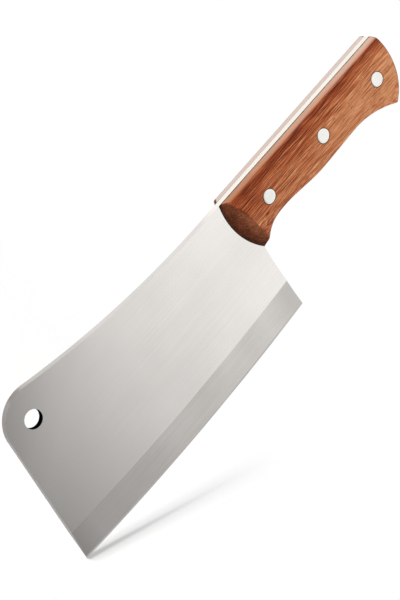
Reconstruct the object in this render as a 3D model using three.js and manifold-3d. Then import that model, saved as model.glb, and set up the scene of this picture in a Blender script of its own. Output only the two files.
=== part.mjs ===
// Meat cleaver: a full-tang steel blade between two wooden scales, which are bedded
// in epoxy and held by three two-piece cutler's rivets. All sizes are in millimetres.
// X runs along the handle towards the butt, Y up towards the spine, Z out of the left side.
// It is drawn with x = 0 at the heel, y = 0 at the tang's top edge and z = 0 at the blade's
// mid-plane, and is then moved to lie with its lowest side on z = 0.

import * as THREE from "three";
import { mergeVertices } from "three/addons/utils/BufferGeometryUtils.js";
import Module from "manifold-3d";

const wasm = await Module();
wasm.setup();

// Blade
const BLADE_THICKNESS = 3.8;
const EDGE_LENGTH = 181.8; // heel corner to toe
const HEEL_DEPTH = 81.2; // tang's top edge down to the heel corner
const TOE_DEPTH = 80.7;
const EDGE_BOW = 2.9; // how far the cutting edge bows below the line from heel to toe
const HEEL_LEAN = 1.3; // how far the heel edge leans back where it meets the handle
const HEEL_HOLLOW = 0.8; // how far the heel edge is hollowed midway
const BEVEL_HEIGHT = 18.7;
const HONED_HEIGHT = 1.2; // the steeper strip along the cutting edge
const HONED_THICKNESS = 0.8; // blade thickness where that strip begins
const EDGE_THICKNESS = 0.1;
const SPINE_LEVEL = 19.5; // level stretch of spine ahead of the heel
const SPINE_RADIUS = 550; // hollow sweep from there up to the ear
const FRONT_LEAN = 11.7; // how far the front edge leans back from the toe to the tang's top line
const EAR_RADIUS = 19.6;
const HOLE_DIAMETER = 10.4;
const HOLE_SETBACK = 16.6; // front edge to the hole's centre
const HOLE_DEPTH = 1.3; // tang's top line down to the hole's centre

// Handle
const HANDLE_THICKNESS = 19;
const HANDLE_LENGTH = 133.6; // foremost point of the scales to the butt
const HANDLE_LAP = 7.4; // how far the scales reach ahead of the heel
const EPOXY_THICKNESS = 0.3;
const TOP_FALL = 0.7; // how far the top falls from the tang to the side's upper edge
const SIDE_CROWN = 1.8; // how far each side bulges between its edges
const ARRIS_ROUND = 1.6; // rounding of the side's upper edge, taken off the top and off the side
const BELLY_ROUND = 2.5; // rounding of the side's lower edge
const FRONT_RADIUS = 41; // arc of the scales' front end on the blade
const FRONT_ARC_DEPTH = 12; // its centre below the tang's top edge
const FRONT_SLANT_TOP = 0.65; // set-back of the front face per millimetre of thickness, at the top
const FRONT_SLANT = 1.2; // the same lower down
const FRONT_SLANT_RUN = 12; // depth over which one slant turns into the other
const BUTT_RADIUS = 45;
const BUTT_ARC_DEPTH = 8.5;
const GUARD_DEPTH = 37.5; // depth of the handle where it meets the heel edge
const WAIST_AT = 30.4; // from the front of the scales, behind the guard
const WAIST_DEPTH = 27.6;
const SWELL_DEPTH = 30.3; // midway between waist and neck
const NECK_SETBACK = 41.2; // ahead of the butt
const NECK_DEPTH = 29.6;
const HOOK_SETBACK = 9.9; // ahead of the butt
const HOOK_DEPTH = 39.8;
const GUARD_CURVE = 2.9; // power of the curve from waist to guard
const HOOK_CURVE = 1.9; // power of the curve from neck to hook

// Rivets
const RIVET_HEAD = 8;
const RIVET_HEAD_HEIGHT = 2.6;
const RIVET_SHANK = 5;
const RIVET_PIN = 3;
const RIVET_CHAMFER = 0.2;
const RIVET_CLEARANCE = 0.25; // all round, in every drilled hole
const RIVET_END_GAP = 0.3; // from the end of a shank or pin to what it points at
const FRONT_RIVET_SETBACK = 24.9; // from the front of the scales
const REAR_RIVET_SETBACK = 15.7; // from the butt
const FRONT_RIVET_DEPTH = 14.9; // each below the tang's top edge
const MIDDLE_RIVET_DEPTH = 15.3;
const REAR_RIVET_DEPTH = 17.3;

// Fineness of the faceted curves
const ARC_STEPS = 24;
const ROUND_STEPS = 32;
const SECTION_STEPS = 8;
const STATIONS = 36;
const TRIM_LAYERS = 6;
const END_STEPS = 72;
const HALVINGS = 40;
const CUT_MARGIN = 6; // how far a cutter reaches past what it cuts

// Places that follow from the sizes
const FACE = BLADE_THICKNESS / 2;
const JOINT = FACE + EPOXY_THICKNESS;
const CREST = HANDLE_THICKNESS / 2;
const SIDE_EDGE = CREST - SIDE_CROWN;
const SIDE_TOP = -TOP_FALL;
const FRONT_X = -HANDLE_LAP;
const BUTT_X = FRONT_X + HANDLE_LENGTH;
const WAIST_X = FRONT_X + WAIST_AT;
const NECK_X = BUTT_X - NECK_SETBACK;
const SWELL_X = (WAIST_X + NECK_X) / 2;
const HOOK_X = BUTT_X - HOOK_SETBACK;
const FRONT_CENTRE = new THREE.Vector2(FRONT_X + FRONT_RADIUS, -FRONT_ARC_DEPTH);
const BUTT_CENTRE = new THREE.Vector2(BUTT_X - BUTT_RADIUS, -BUTT_ARC_DEPTH);
const TOE = new THREE.Vector2(-EDGE_LENGTH, -TOE_DEPTH);
const HEEL = new THREE.Vector2(0, -HEEL_DEPTH);

const FRONT_RIVET_X = FRONT_X + FRONT_RIVET_SETBACK;
const REAR_RIVET_X = BUTT_X - REAR_RIVET_SETBACK;
const RIVETS = [
  { name: "front", x: FRONT_RIVET_X, y: -FRONT_RIVET_DEPTH },
  { name: "middle", x: (FRONT_RIVET_X + REAR_RIVET_X) / 2, y: -MIDDLE_RIVET_DEPTH },
  { name: "rear", x: REAR_RIVET_X, y: -REAR_RIVET_DEPTH },
];

// Solids: closed geometries are joined and cut, and come back as geometry
function solidOf(geometry) {
  const bare = geometry.clone();
  bare.deleteAttribute("normal");
  bare.deleteAttribute("uv");
  const merged = mergeVertices(bare);
  return new wasm.Manifold(new wasm.Mesh({
    numProp: 3,
    vertProperties: new Float32Array(merged.attributes.position.array),
    triVerts: new Uint32Array(merged.index.array),
  }));
}

function geometryOf(solid) {
  const mesh = solid.getMesh();
  const geometry = new THREE.BufferGeometry();
  geometry.setAttribute("position", new THREE.BufferAttribute(new Float32Array(mesh.vertProperties), 3));
  geometry.setIndex(new THREE.BufferAttribute(new Uint32Array(mesh.triVerts), 1));
  geometry.computeVertexNormals();
  return geometry;
}

function cut(geometry, cutters) {
  const whole = solidOf(geometry);
  return geometryOf(cutters.reduce((rest, cutter) => rest.subtract(solidOf(cutter)), whole));
}

function common(first, second) {
  return geometryOf(solidOf(first).intersect(solidOf(second)));
}

// Skin over a row of like rings, each counter-clockwise about the way the row runs, with flat ends
function loft(rings) {
  const size = rings[0].length;
  const points = rings.flat();
  const sumOf = (ring) => ring.reduce((sum, point) => sum.add(point), new THREE.Vector3());
  const middleOf = (ring) => sumOf(ring).divideScalar(size);
  const firstMiddle = points.push(middleOf(rings[0])) - 1;
  const lastMiddle = points.push(middleOf(rings.at(-1))) - 1;
  const lastRow = (rings.length - 1) * size;
  const triangles = [];
  for (let side = 0; side < size; side += 1) {
    const next = (side + 1) % size;
    triangles.push(firstMiddle, next, side);
    triangles.push(lastMiddle, lastRow + side, lastRow + next);
    for (let row = 0; row < lastRow; row += size) {
      triangles.push(row + side, row + next, row + size + next);
      triangles.push(row + side, row + size + next, row + size + side);
    }
  }
  const geometry = new THREE.BufferGeometry().setFromPoints(points);
  geometry.setIndex(triangles);
  return geometry;
}

// The same shape on the other side of the blade
function mirrored(geometry) {
  const copy = geometry.clone().scale(1, 1, -1);
  const corners = copy.index.array;
  for (let first = 0; first < corners.length; first += 3) {
    [corners[first + 1], corners[first + 2]] = [corners[first + 2], corners[first + 1]];
  }
  copy.computeVertexNormals();
  return copy;
}

function post({ x, y }, diameter, low, high) {
  const cylinder = new THREE.CylinderGeometry(diameter / 2, diameter / 2, high - low, ROUND_STEPS);
  return cylinder.rotateX(Math.PI / 2).translate(x, y, (low + high) / 2);
}

function plate(shape, low, high) {
  const settings = { depth: high - low, bevelEnabled: false, curveSegments: ARC_STEPS };
  return new THREE.ExtrudeGeometry(shape, settings).translate(0, 0, low);
}

// Value between two ends where a rising or falling function crosses zero
function crossing(difference, low, high) {
  const rises = difference(high) > difference(low);
  for (let halving = 0; halving < HALVINGS; halving += 1) {
    const middle = (low + high) / 2;
    const tooFar = difference(middle) > 0 === rises;
    [low, high] = tooFar ? [low, middle] : [middle, high];
  }
  return (low + high) / 2;
}

// Handle outline: guard, waist, swell, neck and hook along the belly, between two end arcs
function bellyDepth(x) {
  if (x < WAIST_X) {
    const share = (WAIST_X - x) / (WAIST_X - HEEL_LEAN);
    return WAIST_DEPTH + (GUARD_DEPTH - WAIST_DEPTH) * share ** GUARD_CURVE;
  }
  if (x < SWELL_X) {
    return THREE.MathUtils.lerp(WAIST_DEPTH, SWELL_DEPTH, THREE.MathUtils.smoothstep(x, WAIST_X, SWELL_X));
  }
  if (x < NECK_X) {
    return THREE.MathUtils.lerp(SWELL_DEPTH, NECK_DEPTH, THREE.MathUtils.smoothstep(x, SWELL_X, NECK_X));
  }
  const share = (x - NECK_X) / (HOOK_X - NECK_X);
  return NECK_DEPTH + (HOOK_DEPTH - NECK_DEPTH) * share ** HOOK_CURVE;
}

function halfChord(radius, offset) {
  return Math.sqrt(Math.max(radius ** 2 - offset ** 2, 0));
}

function frontArcX(y) {
  return FRONT_CENTRE.x - halfChord(FRONT_RADIUS, y - FRONT_CENTRE.y);
}

function buttArcX(y) {
  return BUTT_CENTRE.x + halfChord(BUTT_RADIUS, y - BUTT_CENTRE.y);
}

const GUARD_CORNER_X = crossing((x) => x - frontArcX(-bellyDepth(x)), FRONT_X, WAIST_X);
const HOOK_CORNER_X = crossing((x) => x - buttArcX(-bellyDepth(x)), NECK_X, BUTT_X);

function bellyPoint(x) {
  return new THREE.Vector2(x, -bellyDepth(x));
}

function angleFrom(centre, point) {
  return Math.atan2(point.y - centre.y, point.x - centre.x);
}

// From a point on the belly along to the hook, then up the butt to the tang's top edge
function drawBellyAndButt(shape, startX) {
  for (let station = 1; station <= STATIONS; station += 1) {
    const point = bellyPoint(THREE.MathUtils.lerp(startX, HOOK_CORNER_X, station / STATIONS));
    shape.lineTo(point.x, point.y);
  }
  const hook = angleFrom(BUTT_CENTRE, bellyPoint(HOOK_CORNER_X));
  const top = angleFrom(BUTT_CENTRE, new THREE.Vector2(buttArcX(0), 0));
  shape.absarc(BUTT_CENTRE.x, BUTT_CENTRE.y, BUTT_RADIUS, hook, top, false);
}

function handleOutline() {
  const shape = new THREE.Shape();
  const top = new THREE.Vector2(frontArcX(0), 0);
  const start = angleFrom(FRONT_CENTRE, top);
  const turn = angleFrom(FRONT_CENTRE, bellyPoint(GUARD_CORNER_X)) + 2 * Math.PI;
  shape.moveTo(top.x, top.y);
  shape.absarc(FRONT_CENTRE.x, FRONT_CENTRE.y, FRONT_RADIUS, start, turn, false);
  drawBellyAndButt(shape, GUARD_CORNER_X);
  shape.closePath();
  return shape;
}

// Blade outline: level spine, hollow sweep, round ear and leaning front, with spare depth for the grind
function bladeOutline() {
  const up = new THREE.Vector2(FRONT_LEAN, TOE_DEPTH).normalize();
  const inward = new THREE.Vector2(up.y, -up.x);
  const sweep = new THREE.Vector2(-SPINE_LEVEL, SPINE_RADIUS);
  const reach = TOE.clone().addScaledVector(inward, EAR_RADIUS).sub(sweep);
  const along = reach.dot(up);
  const climb = -along - Math.sqrt(along ** 2 - reach.lengthSq() + (SPINE_RADIUS + EAR_RADIUS) ** 2);
  const ear = reach.clone().addScaledVector(up, climb).add(sweep);
  const frontTurn = angleFrom(ear, ear.clone().sub(inward));
  const floor = Math.min(TOE.y, HEEL.y) - EDGE_BOW - CUT_MARGIN;
  const belowToe = TOE.clone().addScaledVector(up, (floor - TOE.y) / up.y);
  const guard = bellyPoint(HEEL_LEAN);
  const hollow = HEEL.clone().lerp(guard, 0.5);
  hollow.x -= 2 * HEEL_HOLLOW;
  const shape = new THREE.Shape();
  shape.moveTo(-SPINE_LEVEL, 0);
  shape.absarc(sweep.x, sweep.y, SPINE_RADIUS, -Math.PI / 2, angleFrom(sweep, ear), true);
  shape.absarc(ear.x, ear.y, EAR_RADIUS, angleFrom(ear, sweep), frontTurn, false);
  shape.lineTo(belowToe.x, belowToe.y);
  shape.lineTo(HEEL.x, floor);
  shape.lineTo(HEEL.x, HEEL.y);
  shape.quadraticCurveTo(hollow.x, hollow.y, guard.x, guard.y);
  drawBellyAndButt(shape, HEEL_LEAN);
  shape.closePath();
  return shape;
}

function edgeY(x) {
  const share = -x / EDGE_LENGTH;
  return THREE.MathUtils.lerp(HEEL.y, TOE.y, share) - 4 * EDGE_BOW * share * (1 - share);
}

// Blade section at one station: parallel faces, long bevels and the honed edge
function groundSection(x, top) {
  const edge = edgeY(x);
  const half = [
    [top, FACE],
    [edge + BEVEL_HEIGHT, FACE],
    [edge + HONED_HEIGHT, HONED_THICKNESS / 2],
    [edge, EDGE_THICKNESS / 2],
  ];
  const left = half.map(([y, z]) => new THREE.Vector3(x, y, z));
  const right = half.map(([y, z]) => new THREE.Vector3(x, y, -z));
  return [...left, ...right.reverse()];
}

function bladeGeometry() {
  const sections = [];
  const outline = bladeOutline();
  const high = Math.max(...outline.getPoints(ARC_STEPS).map((point) => point.y)) + CUT_MARGIN;
  const start = TOE.x - CUT_MARGIN;
  const end = BUTT_X + CUT_MARGIN;
  for (let station = 0; station <= STATIONS; station += 1) {
    sections.push(groundSection(THREE.MathUtils.lerp(start, end, station / STATIONS), high));
  }
  const through = FACE + CUT_MARGIN;
  const ground = common(loft(sections), plate(outline, -through, through));
  const holeY = -HOLE_DEPTH;
  const frontX = TOE.x + FRONT_LEAN * (holeY - TOE.y) / TOE_DEPTH;
  const hole = post({ x: frontX + HOLE_SETBACK, y: holeY }, HOLE_DIAMETER, -through, through);
  const shankHoles = RIVETS.map((rivet) => shankHole(rivet, -through, through));
  return cut(ground, [hole, ...shankHoles]);
}

function shankHole(rivet, low, high) {
  return post(rivet, RIVET_SHANK + 2 * RIVET_CLEARANCE, low, high);
}

function epoxyGeometry() {
  return cut(plate(handleOutline(), FACE, JOINT), RIVETS.map((rivet) => shankHole(rivet, 0, CREST)));
}

// Left scale: crowned sections from guard to hook, trimmed by the slanted front face and the butt
function sideBottom(x) {
  return BELLY_ROUND - bellyDepth(x);
}

function sideHeight({ x, y }) {
  const share = (y - SIDE_TOP) / (sideBottom(x) - SIDE_TOP);
  return SIDE_EDGE + 4 * SIDE_CROWN * share * (1 - share);
}

// Each curve is a parabola, drawn with its control point where the tangents at its ends cross
function scaleSection(x) {
  const belly = -bellyDepth(x);
  const bottom = sideBottom(x);
  const shoulder = SIDE_EDGE - ARRIS_ROUND;
  const topShare = (shoulder - JOINT) / (SIDE_EDGE - JOINT);
  const shoulderY = -TOP_FALL * topShare ** 2;
  const fall = 2 * TOP_FALL * topShare / (SIDE_EDGE - JOINT);
  const cheekY = SIDE_TOP - ARRIS_ROUND;
  const cheek = sideHeight({ x, y: cheekY });
  const sideShare = (cheekY - SIDE_TOP) / (bottom - SIDE_TOP);
  const rise = 4 * SIDE_CROWN * (1 - 2 * sideShare) / (bottom - SIDE_TOP);
  const arrisY = (shoulderY - fall * (cheek - shoulder - rise * cheekY)) / (1 + fall * rise);
  const arris = cheek + rise * (arrisY - cheekY);
  const crown = SIDE_EDGE + 2 * SIDE_CROWN * (1 - sideShare);
  const section = new THREE.Path();
  section.moveTo(0, JOINT);
  section.quadraticCurveTo(0, (JOINT + shoulder) / 2, shoulderY, shoulder);
  section.quadraticCurveTo(arrisY, arris, cheekY, cheek);
  section.quadraticCurveTo((cheekY + bottom) / 2, crown, bottom, SIDE_EDGE);
  section.quadraticCurveTo(belly, SIDE_EDGE, belly, SIDE_EDGE - BELLY_ROUND);
  section.lineTo(belly, JOINT);
  return section.getPoints(SECTION_STEPS).map((point) => new THREE.Vector3(x, point.x, point.y));
}

function frontSlant(y) {
  const share = THREE.MathUtils.smoothstep(-y, 0, FRONT_SLANT_RUN);
  return THREE.MathUtils.lerp(FRONT_SLANT_TOP, FRONT_SLANT, share);
}

function trimLayer(z) {
  const quarter = Math.PI / 2;
  const front = new THREE.Path();
  front.absarc(FRONT_CENTRE.x, FRONT_CENTRE.y, FRONT_RADIUS, quarter, 3 * quarter, false);
  const butt = new THREE.Path();
  butt.absarc(BUTT_CENTRE.x, BUTT_CENTRE.y, BUTT_RADIUS, -quarter, quarter, false);
  const slanted = front.getPoints(END_STEPS).map((point) => {
    return new THREE.Vector3(point.x + frontSlant(point.y) * (z - FACE), point.y, z);
  });
  const upright = butt.getPoints(END_STEPS).map((point) => new THREE.Vector3(point.x, point.y, z));
  return [...slanted, ...upright];
}

function scaleGeometry() {
  const sections = [];
  const start = FRONT_X - CUT_MARGIN;
  const end = BUTT_X + CUT_MARGIN;
  sections.push(scaleSection(start));
  for (let station = 0; station <= STATIONS; station += 1) {
    sections.push(scaleSection(THREE.MathUtils.lerp(GUARD_CORNER_X, HOOK_CORNER_X, station / STATIONS)));
  }
  sections.push(scaleSection(end));
  const layers = [];
  for (let layer = 0; layer <= TRIM_LAYERS; layer += 1) {
    layers.push(trimLayer((layer / TRIM_LAYERS) * (CREST + CUT_MARGIN)));
  }
  const trimmed = common(loft(sections), loft(layers));
  const holes = RIVETS.flatMap((rivet) => {
    const seat = sideHeight(rivet) - RIVET_HEAD_HEIGHT;
    const headHole = post(rivet, RIVET_HEAD + 2 * RIVET_CLEARANCE, seat, CREST + CUT_MARGIN);
    return [headHole, shankHole(rivet, 0, CREST)];
  });
  return cut(trimmed, holes);
}

// Rivet halves, drawn about their own axis with the head up: a tubular socket and a solid pin
function turned(profile) {
  const points = profile.map(([radius, height]) => new THREE.Vector2(radius, height));
  return new THREE.LatheGeometry(points, ROUND_STEPS);
}

function headProfile(top, seat) {
  const radius = RIVET_HEAD / 2;
  return [[radius, seat], [radius, top - RIVET_CHAMFER], [radius - RIVET_CHAMFER, top], [0, top]];
}

function socketGeometry(rivet) {
  const top = sideHeight(rivet);
  const seat = top - RIVET_HEAD_HEIGHT;
  const shankEnd = RIVET_END_GAP - seat;
  const bore = RIVET_PIN / 2 + RIVET_CLEARANCE;
  const shank = RIVET_SHANK / 2;
  const tube = [[0, seat], [bore, seat], [bore, shankEnd], [shank, shankEnd], [shank, seat]];
  return turned([...tube, ...headProfile(top, seat)]).rotateX(Math.PI / 2).translate(rivet.x, rivet.y, 0);
}

function pinGeometry(rivet) {
  const top = sideHeight(rivet);
  const seat = top - RIVET_HEAD_HEIGHT;
  const tip = RIVET_END_GAP - seat;
  const radius = RIVET_PIN / 2;
  const pin = [[0, tip], [radius - RIVET_CHAMFER, tip], [radius, tip + RIVET_CHAMFER], [radius, seat]];
  return turned([...pin, ...headProfile(top, seat)]).rotateX(-Math.PI / 2).translate(rivet.x, rivet.y, 0);
}

// Finishes
const STEEL = { color: 0xcfcfcb, roughness: 0.34, metalness: 1 };
const ROSEWOOD = { color: 0x8f4a2a, roughness: 0.48, metalness: 0 };
const EPOXY = { color: 0x2b201b, roughness: 0.6, metalness: 0 };
const RIVET_METAL = { color: 0xe6e8e4, roughness: 0.3, metalness: 1 };

function piece(name, geometry, finish) {
  const mesh = new THREE.Mesh(geometry, new THREE.MeshStandardMaterial(finish));
  mesh.name = name;
  return mesh;
}

const leftScale = scaleGeometry();
const leftEpoxy = epoxyGeometry();
const cleaver = new THREE.Group();
cleaver.name = "cleaver";
cleaver.add(piece("blade", bladeGeometry(), STEEL));
cleaver.add(piece("left_epoxy_bed", leftEpoxy, EPOXY));
cleaver.add(piece("right_epoxy_bed", mirrored(leftEpoxy), EPOXY));
cleaver.add(piece("left_scale", leftScale, ROSEWOOD));
cleaver.add(piece("right_scale", mirrored(leftScale), ROSEWOOD));
for (const rivet of RIVETS) {
  cleaver.add(piece(`${rivet.name}_rivet_socket`, socketGeometry(rivet), RIVET_METAL));
  cleaver.add(piece(`${rivet.name}_rivet_pin`, pinGeometry(rivet), RIVET_METAL));
}

// Lying on its right side, centred over the origin
const box = new THREE.Box3().setFromObject(cleaver);
const middle = box.getCenter(new THREE.Vector3());
cleaver.position.set(-middle.x, -middle.y, -box.min.z);

export default cleaver;
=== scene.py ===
# Meat cleaver: a ground stainless blade on a full tang, between rosewood scales held by three rivets

import math

import bpy
from mathutils import Euler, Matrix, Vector


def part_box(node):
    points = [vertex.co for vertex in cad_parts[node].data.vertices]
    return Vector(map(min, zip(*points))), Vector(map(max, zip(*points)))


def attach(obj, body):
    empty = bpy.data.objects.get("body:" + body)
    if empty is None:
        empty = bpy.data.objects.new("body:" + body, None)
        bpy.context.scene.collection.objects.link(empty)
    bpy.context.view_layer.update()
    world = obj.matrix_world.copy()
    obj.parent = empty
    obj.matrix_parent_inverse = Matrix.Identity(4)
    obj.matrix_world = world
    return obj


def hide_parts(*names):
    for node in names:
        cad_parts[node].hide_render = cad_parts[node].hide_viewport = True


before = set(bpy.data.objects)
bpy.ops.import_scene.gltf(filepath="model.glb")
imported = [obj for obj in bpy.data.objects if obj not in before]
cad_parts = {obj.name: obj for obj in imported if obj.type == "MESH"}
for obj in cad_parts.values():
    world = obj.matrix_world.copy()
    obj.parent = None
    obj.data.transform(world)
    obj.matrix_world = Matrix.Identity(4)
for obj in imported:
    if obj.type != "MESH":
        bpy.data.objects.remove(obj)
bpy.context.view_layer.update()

MM = 0.001

# Sizes in millimetres, with x from the heel, y from the tang's top edge, z from the mid-plane
HANDLE_LAP = 7.4  # how far the scales reach ahead of the heel
HANDLE_LENGTH = 133.6
FRONT_RADIUS = 41.0
FRONT_ARC_DEPTH = 12.0
FRONT_SLANT_TOP = 0.65  # set-back of the front face per millimetre of thickness, at the top
FRONT_SLANT = 1.2  # the same lower down
FRONT_SLANT_RUN = 12.0
BUTT_RADIUS = 45.0
BUTT_ARC_DEPTH = 8.5
HEEL_LEAN = 1.3
GUARD_DEPTH = 37.5
GUARD_CURVE = 2.9
WAIST_X = 23.0
WAIST_DEPTH = 27.6
SWELL_X = 54.0
SWELL_DEPTH = 30.3
NECK_X = 85.0
NECK_DEPTH = 29.6
HOOK_X = 116.3
HOOK_DEPTH = 39.8
HOOK_CURVE = 1.9
TOP_FALL = 0.7
SIDE_CROWN = 1.8
ARRIS_ROUND = 1.6
BELLY_ROUND = 2.5
SEAM_ROUND = 0.45  # easing of the wood's edge along the tang

RIVET_HEAD = 8.0
RIVET_HEAD_HEIGHT = 2.6
RIVET_SHANK = 5.0
RIVET_BORE = 3.5
RIVET_PIN = 3.0
RIVET_CLEARANCE = 0.25
RIVET_END_GAP = 0.3
RIVETS = (("front", 17.5, -14.9), ("middle", 64.0, -15.3), ("rear", 110.5, -17.3))
RIVET_SINK = 0.02  # ground flush, a hair under the wood
RIVET_RIM = 0.3  # width of the eased rim of a head
RIVET_RIM_FALL = 0.06
RIVET_RINGS = (0.9, 0.9, 0.9, 0.6)  # widths of a head's rings of faces, which follow the crown

EDGE_LENGTH = 181.8
TOE_DEPTH = 80.7
FRONT_LEAN = 11.7  # how far the front edge leans back from the toe to the tang's top line
HOLE_DIAMETER = 10.4
HOLE_SETBACK = 16.6  # front edge to the hole's centre
HOLE_Y = -1.3
HOLE_X = HOLE_SETBACK - EDGE_LENGTH + FRONT_LEAN * (HOLE_Y + TOE_DEPTH) / TOE_DEPTH
BLADE_EASING = 0.22  # how far the rims of the blade's faces are eased
RIVET_RING = 0.8  # width of the painted shade around a rivet
SEAM_SHADE = 0.65  # width of the painted shade along the left seam
TIP_LAPS = {"left_scale": 0.8, "right_scale": 1.7}  # how far end grain laps over the top edge
TIP_DEPTH = 0.5  # and how far down it goes there
FRONT_SKIN = 0.12  # faces that lie this near the front face have end grain
BUTT_SKIN = 0.45  # the same at the butt

FRONT_X = -HANDLE_LAP
BUTT_X = FRONT_X + HANDLE_LENGTH
BLADE_LOW, BLADE_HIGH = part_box("blade")
SCALE_LOW, SCALE_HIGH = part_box("left_scale")
HEEL_PLACE = SCALE_HIGH.x / MM - BUTT_X
TANG_TOP_PLACE = SCALE_HIGH.y / MM
MID_PLANE = (BLADE_LOW.z + BLADE_HIGH.z) / 2 / MM
FACE = BLADE_HIGH.z / MM - MID_PLANE
JOINT = SCALE_LOW.z / MM - MID_PLANE
CREST = SCALE_HIGH.z / MM - MID_PLANE
SIDE_EDGE = CREST - SIDE_CROWN


def spot(x, y, z):
    """A place on the drawing, in metres in the part's own frame."""
    return Vector((x + HEEL_PLACE, y + TANG_TOP_PLACE, z + MID_PLANE)) * MM


def between(low, high, share):
    return low + (high - low) * share


def ease(value, low, high):
    share = min(max((value - low) / (high - low), 0.0), 1.0)
    return share * share * (3 - 2 * share)


# Shape of the wooden scales
def belly_depth(x):
    if x < WAIST_X:
        share = (WAIST_X - x) / (WAIST_X - HEEL_LEAN)
        return WAIST_DEPTH + (GUARD_DEPTH - WAIST_DEPTH) * share**GUARD_CURVE
    if x < SWELL_X:
        return between(WAIST_DEPTH, SWELL_DEPTH, ease(x, WAIST_X, SWELL_X))
    if x < NECK_X:
        return between(SWELL_DEPTH, NECK_DEPTH, ease(x, SWELL_X, NECK_X))
    share = (x - NECK_X) / (HOOK_X - NECK_X)
    return NECK_DEPTH + (HOOK_DEPTH - NECK_DEPTH) * share**HOOK_CURVE


def half_chord(radius, offset):
    return math.sqrt(max(radius**2 - offset**2, 0.0))


def front_x(y, z):
    slant = between(FRONT_SLANT_TOP, FRONT_SLANT, ease(-y, 0.0, FRONT_SLANT_RUN))
    return FRONT_X + FRONT_RADIUS - half_chord(FRONT_RADIUS, y + FRONT_ARC_DEPTH) + slant * (z - FACE)


def butt_x(y, z):
    """The butt is square to the plate, so z makes no difference to it."""
    return BUTT_X - BUTT_RADIUS + half_chord(BUTT_RADIUS, y + BUTT_ARC_DEPTH)


def side_share(x, y):
    bottom = BELLY_ROUND - belly_depth(x)
    return (y + TOP_FALL) / (bottom + TOP_FALL)


def side_height(x, y):
    share = side_share(x, y)
    return SIDE_EDGE + 4 * SIDE_CROWN * share * (1 - share)


def side_slope(x, y):
    bottom = BELLY_ROUND - belly_depth(x)
    return 4 * SIDE_CROWN * (1 - 2 * side_share(x, y)) / (bottom + TOP_FALL)


def top_level(z):
    return -TOP_FALL * ((z - JOINT) / (SIDE_EDGE - JOINT)) ** 2


def top_slope(z):
    return -2 * TOP_FALL * (z - JOINT) / (SIDE_EDGE - JOINT) ** 2


SECTION_STEPS = (3, 8, 9, 26, 10, 4, 3)  # seam, top, arris, side, belly corner, belly, seam


def section_curves(x):
    """The outline of one scale's section, as curves with a start, a turning point and an end."""
    belly = -belly_depth(x)
    bottom = belly + BELLY_ROUND
    lip = JOINT + SEAM_ROUND
    shoulder = SIDE_EDGE - ARRIS_ROUND
    cheek = -TOP_FALL - ARRIS_ROUND
    cheek_height = side_height(x, cheek)
    rise = side_slope(x, cheek)
    fall = top_slope(shoulder)
    arris = (top_level(shoulder) + fall * (cheek_height - shoulder - rise * cheek)) / (1 - fall * rise)
    crown = SIDE_EDGE + 2 * SIDE_CROWN * (1 - side_share(x, cheek))
    middle = (lip + shoulder) / 2
    corners = [
        (-SEAM_ROUND, JOINT),
        (top_level(lip), lip),
        (top_level(shoulder), shoulder),
        (cheek, cheek_height),
        (bottom, SIDE_EDGE),
        (belly, SIDE_EDGE - BELLY_ROUND),
        (belly, lip),
        (belly + SEAM_ROUND, JOINT),
    ]
    turns = [
        (0.0, JOINT),
        (top_level(shoulder) + top_slope(shoulder) * (middle - shoulder), middle),
        (arris, cheek_height + rise * (arris - cheek)),
        ((cheek + bottom) / 2, crown),
        (belly, SIDE_EDGE),
        (belly, (lip + SIDE_EDGE - BELLY_ROUND) / 2),
        (belly, JOINT),
    ]
    return list(zip(corners, turns, corners[1:]))


def bend(start, turn, end, share):
    rest = 1 - share
    return tuple(
        rest * rest * a + 2 * rest * share * b + share * share * c
        for a, b, c in zip(start, turn, end)
    )


def section_point(x, step):
    curves = section_curves(x)
    for curve, steps in zip(curves, SECTION_STEPS):
        if step <= steps:
            return bend(*curve, step / steps)
        step -= steps
    return curves[-1][2]


FRONT_SEARCH = (FRONT_X - 1, SWELL_X)  # where the rim of the front face is looked for
BUTT_SEARCH = (NECK_X, BUTT_X + 2)
HALVINGS = 40


def rim_point(step, end_x, low, high):
    """Where one line along the scale meets an end face, found by halving."""
    for _ in range(HALVINGS):
        middle = (low + high) / 2
        y, z = section_point(middle, step)
        if middle < end_x(y, z):
            low = middle
        else:
            high = middle
    return low, *section_point(low, step)


END_SHARES = (0.0, 0.3, 0.6, 0.8, 0.92, 0.97)  # from the joint out to the rim of an end face
RIM_SHARES = (0.0, 0.003, 0.007, 0.013)  # close to a rim, along the scale
RIM_STRIP = 0.02  # the even steps along the scale start here
LENGTH_STEPS = 96


def scale_lines():
    """Points of one left scale: a line for each step of the section, from front joint to butt joint."""
    rows = sum(SECTION_STEPS) + 1
    fronts = [rim_point(row, front_x, *FRONT_SEARCH) for row in range(rows)]
    butts = [rim_point(row, butt_x, *BUTT_SEARCH) for row in range(rows)]
    steps = [step / LENGTH_STEPS for step in range(LENGTH_STEPS + 1)]
    middle = [between(RIM_STRIP, 1 - RIM_STRIP, step) for step in steps]
    lengths = [*RIM_SHARES, *middle, *(1 - share for share in reversed(RIM_SHARES))]
    lines = []
    for row in range(rows):
        line = end_points(fronts, row, front_x)
        for share in lengths:
            x = between(fronts[row][0], butts[row][0], share)
            line.append((x, *section_point(x, row)))
        line.extend(reversed(end_points(butts, row, butt_x)))
        lines.append(line)
    return lines


def end_points(rim, row, end_x):
    """Points of one line across an end face, from the joint to just inside the rim."""
    steps = [math.dist(a[1:], b[1:]) for a, b in zip(rim, rim[1:])]
    joint_y = between(rim[0][1], rim[-1][1], sum(steps[:row]) / sum(steps))
    points = []
    for share in END_SHARES:
        y = between(joint_y, rim[row][1], share)
        z = between(JOINT, rim[row][2], share)
        points.append((end_x(y, z), y, z))
    return points


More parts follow.
